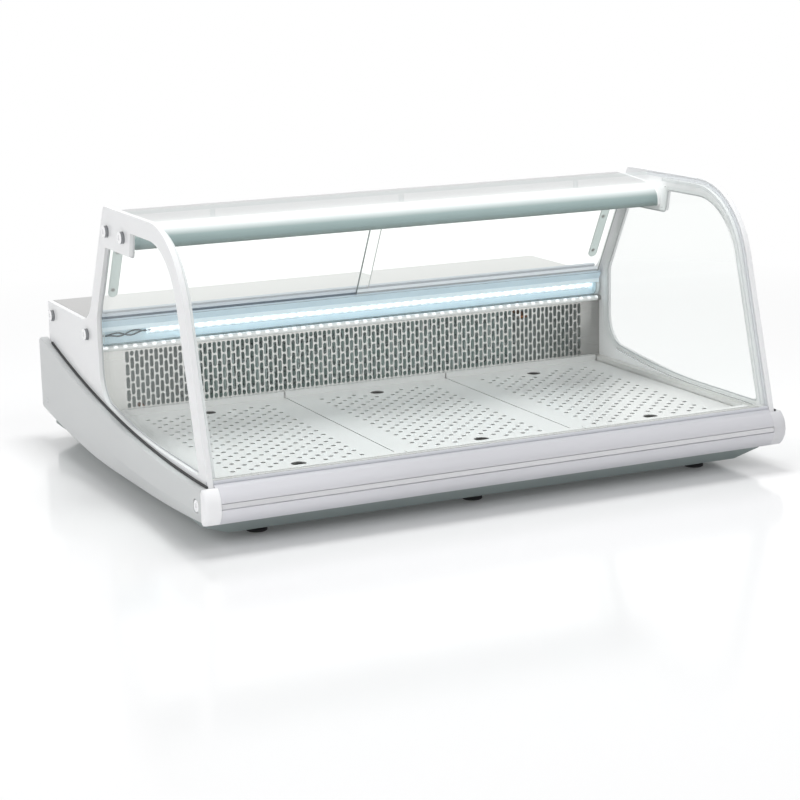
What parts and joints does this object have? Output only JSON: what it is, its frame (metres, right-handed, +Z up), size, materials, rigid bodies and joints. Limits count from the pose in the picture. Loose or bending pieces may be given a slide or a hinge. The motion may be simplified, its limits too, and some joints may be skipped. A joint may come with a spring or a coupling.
{
  "type": "fish display case",
  "caption": "Counter-top refrigerated display case with a curved tilting front glass, glazed ends, sliding rear doors, a lamp and a cooling unit under a rear worktop.",
  "frame": {"origin": "on the counter under the middle of the case", "axes": "+X to the customer's right, +Y to the server's side, +Z up"},
  "size_m": [1, 0.85, 0.455],
  "materials": {
    "base_plastic": "moulded, fine grain",
    "foot_steel": "zinc plated",
    "foot_rubber": "matt black",
    "foam": "rigid insulation foam",
    "stainless": "satin stainless sheet",
    "worktop_steel": "satin stainless sheet",
    "drain_plastic": "moulded",
    "panel_silver": "silver metallic, satin",
    "bumper_silver": "satin anodised",
    "insert_grey": "satin strip",
    "frame_white": "white powder coat",
    "clear_glass": "clear tempered",
    "sill_aluminium": "satin anodised",
    "canopy_grey": "pale grey satin",
    "handle_plastic": "translucent grey",
    "lamp_clear": "clear tinted cover",
    "board_white": "white solder mask",
    "diode_yellow": "phosphor face",
    "fastener_chrome": "polished",
    "screw_steel": "zinc plated",
    "fin_aluminium": "mill finish",
    "copper": "drawn copper",
    "fan_plastic": "moulded black",
    "motor_metal": "dark enamel",
    "compressor_black": "black enamel",
    "control_black": "moulded black",
    "key_plastic": "moulded grey"
  },
  "bodies": {
    "carcass": {"base_tub": "base_plastic", "bumper_cap_left": "bumper_silver", "bumper_cap_right": "bumper_silver", "bumper_insert": "insert_grey", "canopy": "canopy_grey", "canopy_end_caps": "canopy_grey", "chrome_bolts": "fastener_chrome", "compressor": "compressor_black", "condenser_coil": "copper", "condenser_fins": "fin_aluminium", "condenser_shroud": "worktop_steel", "controller": "control_black", "cover_screws": "screw_steel", "deck_plates": "stainless", "drain_fitting": "drain_plastic", "end_frame_left": "frame_white", "end_frame_right": "frame_white", "evaporator_coil": "copper", "evaporator_fins": "fin_aluminium", "fan_motors": "motor_metal", "filter_drier": "copper", "foam_insulation": "foam", "foot_pads": "foot_rubber", "foot_studs": "foot_steel", "front_bumper": "bumper_silver", "glass_seals": "foot_rubber", "grille_panel": "stainless", "lamp_cover": "lamp_clear", "lamp_end_caps": "lamp_clear", "lamp_rail": "sill_aluminium", "led_board": "board_white", "led_diodes": "diode_yellow", "led_driver": "control_black", "lower_door_track": "sill_aluminium", "machine_base": "worktop_steel", "panel_seals": "foot_rubber", "partition_wall": "foam", "power_inlet": "control_black", "rear_cover": "worktop_steel", "rear_worktop": "worktop_steel", "refrigerant_pipes": "copper", "side_glass_left": "clear_glass", "side_glass_right": "clear_glass", "side_panel_left": "panel_silver", "side_panel_right": "panel_silver", "upper_door_track": "sill_aluminium", "well_liner": "stainless"},
    "front_glass": {"front_glass": "clear_glass", "glass_clamp": "sill_aluminium"},
    "door_left": {"door_left": "clear_glass", "door_handle_left": "handle_plastic"},
    "door_right": {"door_right": "clear_glass", "door_handle_right": "handle_plastic"},
    "evaporator_fan_left": {"evaporator_fan_left": "fan_plastic"},
    "evaporator_fan_right": {"evaporator_fan_right": "fan_plastic"},
    "condenser_fan": {"condenser_fan": "fan_plastic"},
    "button_set": {"button_set": "key_plastic"},
    "button_up": {"button_up": "key_plastic"},
    "button_down": {"button_down": "key_plastic"},
    "switch_rocker": {"switch_rocker": "key_plastic"}
  },
  "joints": [
    {"name": "front_glass_tilt", "type": "hinge", "parent": "carcass", "child": "front_glass", "pos_m": [0, -0.39835, 0.1009], "axis": [1, 0, 0], "range_deg": [0, 45]},
    {"name": "door_left_slide", "type": "slide", "parent": "carcass", "child": "door_left", "axis": [1, 0, 0], "range_m": [0, 0.45]},
    {"name": "door_right_slide", "type": "slide", "parent": "carcass", "child": "door_right", "axis": [-1, 0, 0], "range_m": [0, 0.45]},
    {"name": "evaporator_fan_left_spin", "type": "hinge", "parent": "carcass", "child": "evaporator_fan_left", "pos_m": [-0.16, 0.211, 0.128], "axis": [0, 1, 0], "continuous": true},
    {"name": "evaporator_fan_right_spin", "type": "hinge", "parent": "carcass", "child": "evaporator_fan_right", "pos_m": [0.16, 0.211, 0.128], "axis": [0, 1, 0], "continuous": true},
    {"name": "condenser_fan_spin", "type": "hinge", "parent": "carcass", "child": "condenser_fan", "pos_m": [-0.225, 0.3395, 0.128], "axis": [0, 1, 0], "continuous": true},
    {"name": "button_set_press", "type": "slide", "parent": "carcass", "child": "button_set", "axis": [0, -1, 0], "range_m": [0, 0.001], "stiffness_N_per_m": 300},
    {"name": "button_up_press", "type": "slide", "parent": "carcass", "child": "button_up", "axis": [0, -1, 0], "range_m": [0, 0.001], "stiffness_N_per_m": 300},
    {"name": "button_down_press", "type": "slide", "parent": "carcass", "child": "button_down", "axis": [0, -1, 0], "range_m": [0, 0.001], "stiffness_N_per_m": 300},
    {"name": "switch_rocker_tilt", "type": "hinge", "parent": "carcass", "child": "switch_rocker", "pos_m": [-0.43, 0.396, 0.135], "axis": [-1, 0, 0], "range_deg": [0, 14]}
  ]
}
